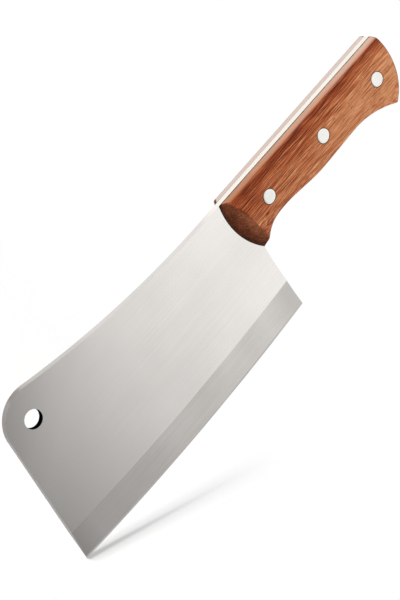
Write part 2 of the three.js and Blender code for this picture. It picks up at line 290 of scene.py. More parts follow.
# Hand work on meshes, with sizes in millimetres and angles in degrees
WELD = 0.002  # vertices closer than this become one
LEVEL_ANGLE = 0.01  # faces that turn less than this become one
RIM_ANGLE = 45  # the rims of the blade's faces turn more than this
RIM_SLACK = 0.02  # and lie no further under the face
SCALE_SMOOTH = 35  # shading runs smoothly over edges that turn less than this
RIVET_SMOOTH = 40
BLADE_SMOOTH = 12
ROUND_SIDES = 64  # sides of a rivet or its hole
CUTTER_PAST = 3  # how far a hole's cutter stands out of the wood
SQUARE_ON = 0.9  # least part of a normal along the rivet, for a face across it
FINISH_LIMITS = (1, 10, 25)  # steepest faces of the flat, the bevel and the honed strip
BORE_LIMIT = 20  # the hole's wall is steeper than this


def deselect():
    if bpy.context.object and bpy.context.object.mode != "OBJECT":
        bpy.ops.object.mode_set(mode="OBJECT")
    bpy.ops.object.select_all(action="DESELECT")


def take_up(piece):
    """Selects one piece alone, ready for edit mode."""
    deselect()
    piece.select_set(True)
    bpy.context.view_layer.objects.active = piece


def pick(piece, vertices=None, edges=None, faces=None):
    """Selects parts of a mesh by a test on each, and leaves edit mode open."""
    bpy.ops.object.mode_set(mode="EDIT")
    bpy.ops.mesh.select_all(action="DESELECT")
    kind = "VERT" if vertices else "EDGE" if edges else "FACE"
    bpy.ops.mesh.select_mode(type=kind)
    bpy.ops.object.mode_set(mode="OBJECT")
    mesh = piece.data
    parts = mesh.vertices if vertices else mesh.edges if edges else mesh.polygons
    test = vertices or edges or faces
    for part in parts:
        part.select = test(part)
    bpy.ops.object.mode_set(mode="EDIT")


def finish_shape(piece, angle):
    bpy.ops.object.mode_set(mode="OBJECT")
    take_up(piece)
    bpy.ops.object.shade_smooth_by_angle(angle=math.radians(angle))


def cut_away(piece, cutters):
    for cutter in cutters:
        take_up(piece)
        cut = piece.modifiers.new("cut", "BOOLEAN")
        cut.operation = "DIFFERENCE"
        cut.solver = "EXACT"
        cut.object = cutter
        bpy.ops.object.modifier_apply(modifier=cut.name)
        bpy.data.objects.remove(cutter)


def make_scale(name, side, lines):
    """A grid laid over the lines and closed at the joint, with the rivets' holes cut into it."""
    columns = len(lines[0])
    rows = len(lines)
    deselect()
    bpy.ops.mesh.primitive_grid_add(x_subdivisions=columns - 1, y_subdivisions=rows - 1, size=1)
    piece = bpy.context.object
    piece.name = name
    for vertex in piece.data.vertices:
        column = round((vertex.co.x + 0.5) * (columns - 1))
        row = round((vertex.co.y + 0.5) * (rows - 1))
        x, y, z = lines[row][column]
        vertex.co = spot(x, y, side * z)
    # The rims of both end faces are evened out, except at the joint, which stays flat
    ends = len(END_SHARES)
    rim_points = [line[place] for line in lines[1:-1] for place in (ends, -ends - 1)]
    rims = {spot(x, y, side * z).to_tuple(6) for x, y, z in rim_points}
    pick(piece, vertices=lambda vertex: vertex.co.to_tuple(6) in rims)
    bpy.ops.mesh.vertices_smooth(factor=0.5, repeat=2)
    bpy.ops.mesh.select_all(action="SELECT")
    bpy.ops.mesh.remove_doubles(threshold=WELD * MM)
    bpy.ops.mesh.select_all(action="DESELECT")
    bpy.ops.mesh.select_mode(type="EDGE")
    bpy.ops.mesh.select_non_manifold(
        extend=False, use_wire=False, use_multi_face=False, use_verts=False
    )
    bpy.ops.mesh.edge_face_add()
    bpy.ops.mesh.select_all(action="SELECT")
    bpy.ops.mesh.normals_make_consistent(inside=False)
    bpy.ops.object.mode_set(mode="OBJECT")
    cutters = []
    for _, x, y in RIVETS:
        seat = side_height(x, y) - RIVET_HEAD_HEIGHT
        bores = ((RIVET_HEAD, seat, CREST + CUTTER_PAST), (RIVET_SHANK, 0.0, CREST))
        for diameter, low, high in bores:
            deselect()
            bpy.ops.mesh.primitive_cylinder_add(
                vertices=ROUND_SIDES,
                radius=(diameter / 2 + RIVET_CLEARANCE) * MM,
                depth=(high - low) * MM,
                location=spot(x, y, side * (low + high) / 2),
            )
            cutters.append(bpy.context.object)
    cut_away(piece, cutters)
    finish_shape(piece, SCALE_SMOOTH)
    return piece


def make_rivet_half(name, shank_radius, bore_radius, reach):
    """A head with its top at the origin and a shank below it, as a tube where it has a bore."""
    deselect()
    radius = RIVET_HEAD / 2
    bpy.ops.mesh.primitive_cylinder_add(
        vertices=ROUND_SIDES,
        radius=radius * MM,
        depth=RIVET_HEAD_HEIGHT * MM,
        location=(0, 0, -RIVET_HEAD_HEIGHT / 2 * MM),
    )
    piece = bpy.context.object
    piece.name = name
    bpy.ops.object.transform_apply(location=True, rotation=False, scale=False)
    pick(piece, faces=lambda face: face.normal.z > SQUARE_ON)
    bpy.ops.mesh.inset(thickness=RIVET_RIM * MM, depth=RIVET_RIM_FALL * MM)
    for ring in RIVET_RINGS:
        bpy.ops.mesh.inset(thickness=ring * MM)
    bpy.ops.mesh.poke()
    pick(piece, faces=lambda face: face.normal.z < -SQUARE_ON)
    bpy.ops.mesh.inset(thickness=(radius - shank_radius) * MM)
    bpy.ops.mesh.extrude_region_move(TRANSFORM_OT_translate={"value": (0, 0, -reach * MM)})
    if bore_radius:
        bpy.ops.mesh.inset(thickness=(shank_radius - bore_radius) * MM)
        bpy.ops.mesh.extrude_region_move(TRANSFORM_OT_translate={"value": (0, 0, reach * MM)})
    bpy.ops.mesh.select_all(action="SELECT")
    bpy.ops.transform.translate(value=(0, 0, -(RIVET_RIM_FALL + RIVET_SINK) * MM))
    finish_shape(piece, RIVET_SMOOTH)
    return piece


def set_rivet(pattern, name, x, y, side):
    """A copy of a rivet half in its place, with the head bent to the crown of the wood."""
    piece = pattern.copy()
    piece.data = pattern.data.copy()
    piece.name = name
    bpy.context.collection.objects.link(piece)
    for vertex in piece.data.vertices:
        across, along, height = vertex.co / MM
        place_x = x + across
        place_y = y + side * along
        on_head = height > -RIVET_HEAD_HEIGHT / 2
        ground = side_height(place_x, place_y) if on_head else side_height(x, y)
        vertex.co = spot(place_x, place_y, side * (ground + height))
    return piece


def make_blade(name):
    """The blade's own solid with its rims eased, and a finish for each kind of face."""
    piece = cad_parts["blade"].copy()
    piece.data = piece.data.copy()
    piece.name = name
    bpy.context.collection.objects.link(piece)
    take_up(piece)
    bpy.ops.object.mode_set(mode="EDIT")
    bpy.ops.mesh.select_all(action="SELECT")
    bpy.ops.mesh.remove_doubles(threshold=WELD * MM)
    bpy.ops.mesh.dissolve_limited(angle_limit=math.radians(LEVEL_ANGLE))
    bpy.ops.mesh.select_mode(type="EDGE")
    bpy.ops.mesh.select_all(action="DESELECT")
    bpy.ops.mesh.edges_select_sharp(sharpness=math.radians(RIM_ANGLE))
    bpy.ops.object.mode_set(mode="OBJECT")
    mesh = piece.data
    outer = (FACE - RIM_SLACK) * MM
    for edge in mesh.edges:
        heights = [abs(mesh.vertices[v].co.z - MID_PLANE * MM) for v in edge.vertices]
        edge.select = edge.select and min(heights) > outer
    bpy.ops.object.mode_set(mode="EDIT")
    bpy.ops.mesh.bevel(offset=BLADE_EASING * MM, segments=2, affect="EDGES", clamp_overlap=True)
    finish_shape(piece, BLADE_SMOOTH)
    piece.data.materials.clear()
    finishes = (SATIN, BEVEL, HONED, SPINE, SHADED_BORE)
    for material in finishes:
        piece.data.materials.append(material)
    for face in piece.data.polygons:
        face.material_index = finishes.index(blade_finish(face))
    finishes_met = {}
    for face in piece.data.polygons:
        for key in face.edge_keys:
            finishes_met.setdefault(key, set()).add(face.material_index)
    pick(piece, edges=lambda edge: len(finishes_met[edge.key]) > 1)
    bpy.ops.mesh.mark_sharp()
    bpy.ops.object.mode_set(mode="OBJECT")
    return piece


def blade_finish(face):
    """Which of the blade's finishes a face has, by how steep it is and where it lies."""
    steepness = math.degrees(math.acos(min(abs(face.normal.z), 1.0)))
    from_hole = (face.center - spot(HOLE_X, HOLE_Y, 0.0)).to_2d().length / MM
    if steepness > BORE_LIMIT and from_hole < HOLE_DIAMETER / 2 + BLADE_EASING:
        return SHADED_BORE
    limits_passed = sum(steepness >= limit for limit in FINISH_LIMITS)
    return (SATIN, BEVEL, HONED, SPINE)[limits_passed]


# Materials
def colour(text):
    """An sRGB hex colour, in the linear values that the shader takes."""
    parts = [int(text[place : place + 2], 16) / 255 for place in (1, 3, 5)]
    linear = [part / 12.92 if part <= 0.04045 else ((part + 0.055) / 1.055) ** 2.4 for part in parts]
    return (*linear, 1.0)


def add(tree, kind, inputs=None, stops=(), **settings):
    """Adds one node with its settings and colour stops, and sets or links its inputs."""
    made = tree.nodes.new(kind)
    for name, value in settings.items():
        setattr(made, name, value)
    for socket, value in (inputs or {}).items():
        if isinstance(value, bpy.types.NodeSocket):
            tree.links.new(value, made.inputs[socket])
        else:
            made.inputs[socket].default_value = value
    for number, (place, text) in enumerate(stops):
        elements = made.color_ramp.elements
        stop = elements[number] if number < 2 else elements.new(place)
        stop.position = place
        stop.color = colour(text)
    return made


def new_material(name):
    material = bpy.data.materials.new(name)
    material.use_nodes = True
    tree = material.node_tree
    tree.nodes.clear()
    return material, tree


CLOUDS_PER_METRE = 28.0  # soft clouds in the steel's finish, about 36 mm across
TONE_SPREAD = 0.25  # how far the metal's patterns reach from their mean, for its tone
GLOSS_SPREAD = 0.3  # the same for its gloss


def ground_steel(
    name, light, dark, line_length, line_width, smooth, rough, depth,
    run=(), heading=(1.0, 0.0, 0.0), edge_on="#FFFFFF",
):
    """Metal ground on a belt: fine lines along the blade, slightly uneven in tone and gloss. The
    lines are coarser than real ones, which are finer than a pixel. A run of colours, each from a
    place along a heading on the drawing, paints reflection and highlight into its colour. Seen
    edge-on, bare metal shines white, and the hole's wall, painted dark with shade, stays dark."""
    material, tree = new_material(name)
    place = add(tree, "ShaderNodeTexCoord").outputs["Object"]
    per_metre = (1 / (line_length * MM), 1 / (line_width * MM), 1 / (line_width * MM))
    stretched = add(tree, "ShaderNodeMapping", {"Vector": place, "Scale": per_metre}).outputs["Vector"]
    belt_marks = {"Vector": stretched, "Scale": 1.0, "Detail": 4.0, "Roughness": 0.6}
    marks = add(tree, "ShaderNodeTexNoise", belt_marks).outputs["Fac"]
    cloudy = {"Vector": place, "Scale": CLOUDS_PER_METRE, "Detail": 2.0}
    clouds = add(tree, "ShaderNodeTexNoise", cloudy).outputs["Fac"]
    mixed = add(tree, "ShaderNodeMath", {0: marks, 1: clouds}, operation="ADD").outputs[0]
    toned = {"Value": mixed, "From Min": 1 - TONE_SPREAD, "From Max": 1 + TONE_SPREAD}
    tone = add(tree, "ShaderNodeMapRange", toned).outputs["Result"]
    shades = {0: tone, 6: colour(dark), 7: colour(light)}
    base = add(tree, "ShaderNodeMix", shades, data_type="RGBA").outputs[2]
    # The run paints reflection and highlight into the metal's colour
    if run:
        low, high = run[0][0], run[-1][0]
        start = spot(0.0, 0.0, 0.0).dot(Vector(heading))
        headed = {0: place, 1: heading}
        along = add(tree, "ShaderNodeVectorMath", headed, operation="DOT_PRODUCT").outputs["Value"]
        reach = {"Value": along, "From Min": start + low * MM, "From Max": start + high * MM}
        share = add(tree, "ShaderNodeMapRange", reach).outputs[0]
        stops = [((x - low) / (high - low), text) for x, text in run]
        painted_reflection = add(tree, "ShaderNodeValToRGB", {"Fac": share}, stops).outputs[0]
        tinted = {0: 1.0, 6: base, 7: painted_reflection}
        base = add(tree, "ShaderNodeMix", tinted, data_type="RGBA", blend_type="MULTIPLY").outputs[2]
    glossy = {"Value": mixed, "From Min": 1 - GLOSS_SPREAD, "From Max": 1 + GLOSS_SPREAD}
    glossy |= {"To Min": rough, "To Max": smooth}
    gloss = add(tree, "ShaderNodeMapRange", glossy).outputs["Result"]
    bump = add(tree, "ShaderNodeBump", {"Height": marks, "Strength": 0.5, "Distance": depth * MM})
    finish = {"Base Color": base, "Metallic": 1.0, "Specular Tint": colour(edge_on)}
    finish |= {"Roughness": gloss, "Normal": bump.outputs["Normal"]}
    shader = add(tree, "ShaderNodeBsdfPrincipled", finish)
    add(tree, "ShaderNodeOutputMaterial", {"Surface": shader.outputs[0]})
    return material


# Rosewood. Each pattern has a length along the grain, a height, a width and a detail. Fibres, pores
# and dots are coarser than real ones, which would not show at the picture's size
SIDE_PATTERNS = {
    "bands": (140, 4.0, 4.0, 2.0),
    "streaks": (70, 0.8, 0.8, 2.0),
    "fibres": (14, 0.34, 0.34, 1.0),
    "pores": (3, 0.45, 0.45, 0.0),
}
SIDE_PATTERN_SHARES = {"bands": 0.12, "streaks": 0.7, "fibres": 2.6, "pores": 0.3}
END_PATTERNS = {"rings": (60, 6.0, 2.0, 2.0), "dots": (12, 0.8, 0.8, 2.0)}
END_PATTERN_SHARES = {"rings": 0.7, "dots": 0.9}
SWAYS_PER_METRE = (12, 50, 50)
GRAIN_SWAY = 1.6  # how far the grain sways from a straight line
SIDE_TONE = (-1.22, -0.76)  # lightness added to the patterns, at the heel and at the butt
SIDE_TONE_RANGE = 1.2
BROWNS = ("#571F0A", "#772F10", "#964526", "#AE5D33", "#C27248", "#D98E5E", "#EBA878")
PORE_BROWN = "#4A1F10"
# Brown of the painted shade round the rivets and along the left seam
SHADE_BROWN = "#32190E"
END_BROWNS = ((0.0, "#251008"), (0.35, "#4B2414"), (0.7, "#713E27"), (1.0, "#91573A"))
END_SHADE_TONE = (-0.5, 0.0)  # lightness added at the joint and at the side, as painted shade by the steel
UPPER_DARK_TONE = (0.36, 0.72)  # how much darker the upper band of the side is, at the heel and at the butt
UPPER_DARK_LOW = (-19.0, -12.0)  # its lower limit, at the heel and at the butt
UPPER_DARK_TOP = -1.5
CORNER_LINE = (-5.0, -2.0)  # a darker line along the top corner grows over these places
CORNER_LINE_TONE = 0.14
CORNER_DEPTHS = (4.8, 6.4)  # the upper band and the line fade in over these distances from the mid-plane
TOP_SHEEN = (-2.2, -1.2)  # the painted sheen on the top edge begins over these places
TOP_SHEEN_SHARE = 0.94
TOP_SHEEN_DEPTHS = (6.4, 7.5)  # and ends over these distances from the mid-plane
NEAR_SHEEN_DEPTHS = (3.2, 6.8)
# Painted sheen on the left scale's top edge, front and rear, by the seam and by the corner
NEAR_SHEEN_TOPS = (("#9E7864", "#C5AC9E"), ("#B37851", "#CEA48F"))
# Painted reflection of the white studio on the right scale's top edge
FAR_REFLECTION_TOP = "#C8C0BA"


def wood_patterns(tree, place, sizes):
    """Noise drawn out along the grain, one for each of the named patterns."""
    patterns = {}
    for part, (length, height, width, detail) in sizes.items():
        per_metre = [1 / MM / size for size in (length, height, width)]
        stretched = add(tree, "ShaderNodeMapping", {"Vector": place, "Scale": per_metre}).outputs[0]
        noise = {"Vector": stretched, "Scale": 1.0, "Detail": detail, "Roughness": 0.55}
        patterns[part] = add(tree, "ShaderNodeTexNoise", noise).outputs["Fac"]
    return patterns


def wood_axes(tree, place):
    """A place's x, y and z, and its distance from the blade's mid-plane."""
    axes = add(tree, "ShaderNodeSeparateXYZ", {0: place}).outputs
    from_middle = {0: axes["Z"], 1: MID_PLANE * MM}
    outwards = add(tree, "ShaderNodeMath", from_middle, operation="SUBTRACT").outputs[0]
    return axes, add(tree, "ShaderNodeMath", {0: outwards}, operation="ABSOLUTE").outputs[0]


def ends_of(value, low, high, origin=0.0):
    """A value and the two places, in millimetres, between which it is taken."""
    return {"Value": value, "From Min": (origin + low) * MM, "From Max": (origin + high) * MM}


def long_grain(name):
    """Oiled rosewood, sanded along the grain: straight fine streaks of light and dark, short open
    pores, darker over the upper side and along the top corner, and paler towards the butt. The top
    edge is painted pale with sheen, the right scale's paler still with painted reflection of the white
    studio.
    Shade is painted round the rivets and along the left seam."""
    material, tree = new_material(name)
    place = add(tree, "ShaderNodeTexCoord").outputs["Object"]
    drift = add(tree, "ShaderNodeMapping", {"Vector": place, "Scale": SWAYS_PER_METRE}).outputs[0]
    wander = {"Vector": drift, "Scale": 1.0, "Detail": 1.0}
    sway = add(tree, "ShaderNodeTexNoise", wander).outputs["Color"]
    swayed = {0: sway, 1: (0.0, GRAIN_SWAY * MM, GRAIN_SWAY * MM), 2: place}
    bent = add(tree, "ShaderNodeVectorMath", swayed, operation="MULTIPLY_ADD").outputs[0]
    patterns = wood_patterns(tree, bent, SIDE_PATTERNS)
    axes, depth = wood_axes(tree, place)

    # What changes from the heel to the butt
    along = {}
    for part, (heel, butt) in (
        ("tone", SIDE_TONE),
        ("upper dark tone", UPPER_DARK_TONE),
        ("upper dark low", [(TANG_TOP_PLACE + y) * MM for y in UPPER_DARK_LOW]),
        ("rearwards", (0.0, 1.0)),
    ):
        handle = ends_of(axes["X"], 0.0, BUTT_X, HEEL_PLACE)
        handle |= {"To Min": heel, "To Max": butt}
        along[part] = add(tree, "ShaderNodeMapRange", handle).outputs[0]

    # The side: patterns, the darker upper band and the corner line make one tone, and the tone makes
    # the brown
    upper_dark_band = {"Value": axes["Y"], "From Min": along["upper dark low"], "To Max": along["upper dark tone"]}
    upper_dark_band |= {"From Max": (TANG_TOP_PLACE + UPPER_DARK_TOP) * MM}
    corner_line = ends_of(axes["Y"], *CORNER_LINE, TANG_TOP_PLACE) | {"To Max": CORNER_LINE_TONE}
    to_side = ends_of(depth, *CORNER_DEPTHS) | {"To Min": 0.0, "To Max": -1.0}
    side = add(tree, "ShaderNodeMapRange", to_side, interpolation_type="SMOOTHSTEP").outputs[0]
    tone = along["tone"]
    for part, share in SIDE_PATTERN_SHARES.items():
        patterned = {0: patterns[part], 1: share, 2: tone}
        tone = add(tree, "ShaderNodeMath", patterned, operation="MULTIPLY_ADD").outputs[0]
    for darkening in (upper_dark_band, corner_line):
        darker = add(tree, "ShaderNodeMapRange", darkening).outputs[0]
        darkened = {0: darker, 1: side, 2: tone}
        tone = add(tree, "ShaderNodeMath", darkened, operation="MULTIPLY_ADD").outputs[0]
    spread = add(tree, "ShaderNodeMapRange", {"Value": tone, "From Max": SIDE_TONE_RANGE}).outputs[0]
    stops = [(number / (len(BROWNS) - 1), brown) for number, brown in enumerate(BROWNS)]
    brown = add(tree, "ShaderNodeValToRGB", {"Fac": spread}, stops).outputs[0]
    pitted = {"Value": patterns["pores"], "From Min": 0.6, "From Max": 0.74, "To Max": 0.45}
    pits = add(tree, "ShaderNodeMapRange", pitted).outputs[0]
    pores = {0: pits, 6: brown, 7: colour(PORE_BROWN)}
    open_wood = add(tree, "ShaderNodeMix", pores, data_type="RGBA").outputs[2]

    # Painted sheen on the top edge, palest between the fibres
    raised = {"Value": patterns["fibres"], "From Min": 0.35, "From Max": 0.65}
    sheen_share = 1.0
    for wear in (
        ends_of(axes["Y"], *TOP_SHEEN, TANG_TOP_PLACE) | {"To Max": TOP_SHEEN_SHARE},
        ends_of(depth, *TOP_SHEEN_DEPTHS) | {"To Min": 1.0, "To Max": 0.0},
        raised | {"To Min": 1.0, "To Max": 0.72},
    ):
        share = add(tree, "ShaderNodeMapRange", wear).outputs[0]
        sheen_share = add(tree, "ShaderNodeMath", {0: sheen_share, 1: share}, operation="MULTIPLY").outputs[0]
    left = add(tree, "ShaderNodeMapRange", ends_of(axes["Z"], -FACE, FACE, MID_PLANE)).outputs[0]
    sheen_tops = []
    for front, rear in NEAR_SHEEN_TOPS:
        lengthwise = {0: along["rearwards"], 6: colour(front), 7: colour(rear)}
        sheen_tops.append(add(tree, "ShaderNodeMix", lengthwise, data_type="RGBA").outputs[2])
    across = add(tree, "ShaderNodeMapRange", ends_of(depth, *NEAR_SHEEN_DEPTHS)).outputs[0]
    near = add(tree, "ShaderNodeMix", {0: across, 6: sheen_tops[0], 7: sheen_tops[1]}, data_type="RGBA").outputs[2]
    # The right scale's top edge takes the painted reflection, the left scale's the painted sheen
    both = {0: left, 6: colour(FAR_REFLECTION_TOP), 7: near}
    painted_sheen = add(tree, "ShaderNodeMix", both, data_type="RGBA").outputs[2]
    sheened_wood = add(tree, "ShaderNodeMix", {0: sheen_share, 6: open_wood, 7: painted_sheen}, data_type="RGBA").outputs[2]

    # Painted shade round the rivets and along the left seam
    seen = add(tree, "ShaderNodeCombineXYZ", {"X": axes["X"], "Y": axes["Y"]}).outputs[0]
    nearest = 1.0
    for _, x, y in RIVETS:
        apart = {0: seen, 1: spot(x, y, 0.0) * Vector((1, 1, 0))}
        away = add(tree, "ShaderNodeVectorMath", apart, operation="DISTANCE").outputs["Value"]
        nearest = add(tree, "ShaderNodeMath", {0: nearest, 1: away}, operation="MINIMUM").outputs[0]
    round_rivet = ends_of(nearest, 0.0, RIVET_RING, RIVET_HEAD / 2) | {"To Min": 0.75, "To Max": 0.0}
    ring = add(tree, "ShaderNodeMapRange", round_rivet).outputs[0]
    by_joint = ends_of(depth, 0.0, SEAM_SHADE, JOINT) | {"To Min": 1.0, "To Max": 0.0}
    strip = add(tree, "ShaderNodeMapRange", by_joint).outputs[0]
    seam = add(tree, "ShaderNodeMath", {0: strip, 1: left}, operation="MULTIPLY").outputs[0]
    painted_shade = add(tree, "ShaderNodeMath", {0: ring, 1: seam}, operation="MAXIMUM").outputs[0]
    shaded = {0: painted_shade, 6: sheened_wood, 7: colour(SHADE_BROWN)}
    base = add(tree, "ShaderNodeMix", shaded, data_type="RGBA").outputs[2]

    oiled = {"Value": patterns["fibres"], "From Min": 0.3, "From Max": 0.7}
    oiled |= {"To Min": 0.48, "To Max": 0.6}
    gloss = add(tree, "ShaderNodeMapRange", oiled).outputs[0]
    relief = {0: pits, 1: -1.2, 2: patterns["fibres"]}
    height = add(tree, "ShaderNodeMath", relief, operation="MULTIPLY_ADD").outputs[0]
    grained = {"Height": height, "Strength": 0.4, "Distance": 0.05 * MM}
    bump = add(tree, "ShaderNodeBump", grained).outputs[0]
    finish = {"Base Color": base, "Roughness": gloss, "Normal": bump}
    finish |= {"IOR": 1.5, "Specular IOR Level": 0.24}
    shader = add(tree, "ShaderNodeBsdfPrincipled", finish)
    add(tree, "ShaderNodeOutputMaterial", {"Surface": shader.outputs[0]})
    return material


def end_grain(name):
    """Rosewood sawn across: much darker than its sides, dotted by pores, with painted shade that
    darkens it towards the steel.
    """
    material, tree = new_material(name)
    place = add(tree, "ShaderNodeTexCoord").outputs["Object"]
    patterns = wood_patterns(tree, place, END_PATTERNS)
    _, depth = wood_axes(tree, place)
    outwards = ends_of(depth, JOINT, SIDE_EDGE) | {"To Min": END_SHADE_TONE[0], "To Max": END_SHADE_TONE[1]}
    tone = add(tree, "ShaderNodeMapRange", outwards).outputs[0]
    for part, share in END_PATTERN_SHARES.items():
        patterned = {0: patterns[part], 1: share, 2: tone}
        tone = add(tree, "ShaderNodeMath", patterned, operation="MULTIPLY_ADD").outputs[0]
    brown = add(tree, "ShaderNodeValToRGB", {"Fac": tone}, END_BROWNS).outputs[0]
    dull = {"Value": patterns["dots"], "To Min": 0.7, "To Max": 0.5}
    gloss = add(tree, "ShaderNodeMapRange", dull).outputs[0]
    dotted = {"Height": patterns["dots"], "Strength": 0.5, "Distance": 0.08 * MM}
    bump = add(tree, "ShaderNodeBump", dotted).outputs[0]
    finish = {"Base Color": brown, "Roughness": gloss, "Normal": bump}
    finish |= {"IOR": 1.5, "Specular IOR Level": 0.15}
    shader = add(tree, "ShaderNodeBsdfPrincipled", finish)
    add(tree, "ShaderNodeOutputMaterial", {"Surface": shader.outputs[0]})
    return material


DUST_PER_METRE = 900.0  # specks of wood dust in the glue, about 1 mm across, coarser than real ones


def dusty_epoxy(name, dark, light):
    """Epoxy glue filled with wood dust: matt, slightly mottled, paler where it holds more dust."""
    material, tree = new_material(name)
    place = add(tree, "ShaderNodeTexCoord").outputs["Object"]
    specks = {"Vector": place, "Scale": DUST_PER_METRE, "Detail": 3.0}
    dust = add(tree, "ShaderNodeTexNoise", specks).outputs["Fac"]
    brown = add(tree, "ShaderNodeValToRGB", {"Fac": dust}, ((0.3, dark), (0.7, light))).outputs[0]
    gloss = add(tree, "ShaderNodeMapRange", {"Value": dust, "To Min": 0.45, "To Max": 0.65}).outputs[0]
    mottled = {"Height": dust, "Strength": 0.3, "Distance": 0.03 * MM}
    bump = add(tree, "ShaderNodeBump", mottled).outputs[0]
    finish = {"Base Color": brown, "Roughness": gloss, "Normal": bump}
    shader = add(tree, "ShaderNodeBsdfPrincipled", finish)
    add(tree, "ShaderNodeOutputMaterial", {"Surface": shader.outputs[0]})
    return material


# The runs paint reflection into the steel's colour: the flat darker towards the ear, the bevel at both
# its ends, and the spine round the ear, with a painted highlight on the tang's top.
# The places are along the blade from the heel, or along the heading
EAR_HEADING = (0.5, -0.87, 0.0)  # along the blade's face, away from the ear
EAR_REFLECTION_RUN = ((-90, "#E6E6E6"), (-79, "#F0F0F0"), (-70, "#F9F9F9"), (-58, "#FFFFFF"))
BEVEL_REFLECTION_RUN = ((-182, "#ECECEC"), (-166, "#FFFFFF"), (-150, "#F8F8F8"), (-25, "#FEFEFE"), (-6, "#E8E8E8"))
SPINE_REFLECTION_RUN = (
    (-170, "#8E8A86"), (-158, "#A7A39F"), (-155, "#94908C"), (-150, "#9C9894"), (-147, "#BBB7B3"),
    (-140, "#C6C2BE"), (-100, "#DCD9D6"), (-20, "#E6E3E0"), (-7, "#FFFAF1"),
)
SATIN = ground_steel(
    "satin_ground_stainless", light="#F6F2EE", dark="#F1EDE9", line_length=70, line_width=0.5,
    smooth=0.17, rough=0.23, depth=0.003, run=EAR_REFLECTION_RUN, heading=EAR_HEADING,
)
BEVEL = ground_steel(
    "wheel_ground_bevel", light="#DEDAD6", dark="#D1CDC9", line_length=40, line_width=0.45,
    smooth=0.19, rough=0.26, depth=0.004, run=BEVEL_REFLECTION_RUN,
)
HONED = ground_steel(
    "honed_edge_steel", light="#C4C0BC", dark="#B4B0AC", line_length=12, line_width=0.3,
    smooth=0.2, rough=0.3, depth=0.004,
)
SPINE = ground_steel(
    "linished_spine_steel", light="#FFFFFF", dark="#F8F7F6", line_length=30, line_width=0.5,
    smooth=0.2, rough=0.32, depth=0.0015, run=SPINE_REFLECTION_RUN,
)
# Painted shade: the hole's wall is painted near-black for the shade seen in it, and its edge-on shine
# is black
SHADED_BORE = ground_steel(
    "drilled_bore_painted_shade", light="#0C0B0A", dark="#050504", line_length=3, line_width=0.5,
    smooth=0.55, rough=0.7, depth=0.01, edge_on="#000000",
)
RIVET_METAL = ground_steel(
    "sanded_rivet_aluminium", light="#FAF9F5", dark="#EFEEE8", line_length=10, line_width=0.35,
    smooth=0.2, rough=0.3, depth=0.004,
)
SIDE_WOOD = long_grain("oiled_rosewood")
END_WOOD = end_grain("rosewood_end_grain")
# One glue in two painted copies: dark with painted shade in the left seam, pale with painted light in
# the right
SHADED_EPOXY = dusty_epoxy("shaded_epoxy_bed", "#0A0605", "#1A110D")
LIT_EPOXY = dusty_epoxy("lit_epoxy_bed", "#A89A8E", "#C4B8AC")

# Pieces
lines = scale_lines()
left_scale = make_scale("left_wood_scale", 1, lines)
right_scale = make_scale("right_wood_scale", -1, lines)
for scale, node in ((left_scale, "left_scale"), (right_scale, "right_scale")):
    scale.data.materials.append(SIDE_WOOD)
    scale.data.materials.append(END_WOOD)
    for face in scale.data.polygons:
        x, y, z = face.center / MM
        height = abs(z - MID_PLANE)
        ahead = x - HEEL_PLACE - front_x(y - TANG_TOP_PLACE, height)
        behind = butt_x(y - TANG_TOP_PLACE, height) - (x - HEEL_PLACE)
        on_tip = y - TANG_TOP_PLACE > -TOP_FALL - TIP_DEPTH and ahead < TIP_LAPS[node]
        if on_tip or ahead < FRONT_SKIN or behind < BUTT_SKIN:
            face.material_index = 1
    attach(scale, "root")
    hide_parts(node)

blade = make_blade("ground_blade")
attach(blade, "root")
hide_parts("blade")

SHANK_REACH = 2 * (CREST - RIVET_HEAD_HEIGHT - RIVET_END_GAP)
socket = make_rivet_half("rivet_socket_pattern", RIVET_SHANK / 2, RIVET_BORE / 2, SHANK_REACH)
pin = make_rivet_half("rivet_pin_pattern", RIVET_PIN / 2, 0.0, SHANK_REACH)
for label, x, y in RIVETS:
    for pattern, part, side in ((socket, "socket", 1), (pin, "pin", -1)):
        piece = set_rivet(pattern, f"{label}_ground_rivet_{part}", x, y, side)
        piece.data.materials.append(RIVET_METAL)
        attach(piece, "root")
        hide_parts(f"{label}_rivet_{part}")
bpy.data.objects.remove(socket)
bpy.data.objects.remove(pin)

# The left bed takes the painted shade, the right bed the painted light
for node, epoxy in (("left_epoxy_bed", SHADED_EPOXY), ("right_epoxy_bed", LIT_EPOXY)):
    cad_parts[node].material_slots[0].material = epoxy

# Studio: the cleaver stands on its toe on white card, seen from above its level
VIEW_PLACE = spot(-303.56, 403.44, 698.9)
VIEW_TURN = Euler([math.radians(angle) for angle in (-10.702, -34.393, -40.740)])
VIEW_HEIGHT = math.radians(38.0)  # how far the view looks down on the card
VIEW_RIGHT, VIEW_UP, VIEW_BACK = VIEW_TURN.to_matrix().transposed()
ROOM_UP = VIEW_UP * math.cos(VIEW_HEIGHT) + VIEW_BACK * math.sin(VIEW_HEIGHT)
ROOM_FRONT = VIEW_BACK * math.cos(VIEW_HEIGHT) - VIEW_UP * math.sin(VIEW_HEIGHT)
TOE = spot(-EDGE_LENGTH, -TOE_DEPTH, 0.0)
SENSOR_WIDTH = 36
LENS = 99

bpy.ops.object.camera_add(location=VIEW_PLACE, rotation=VIEW_TURN)
camera = bpy.context.object
camera.data.sensor_width = SENSOR_WIDTH
camera.data.lens = LENS
camera.data.clip_start = 0.01
bpy.context.scene.camera = camera


def room(right, up, front):
    """A place in the studio, in metres from the toe."""
    return TOE + VIEW_RIGHT * right + ROOM_UP * up + ROOM_FRONT * front


LAMP_AIM = room(right=0.12, up=0.12, front=-0.1)


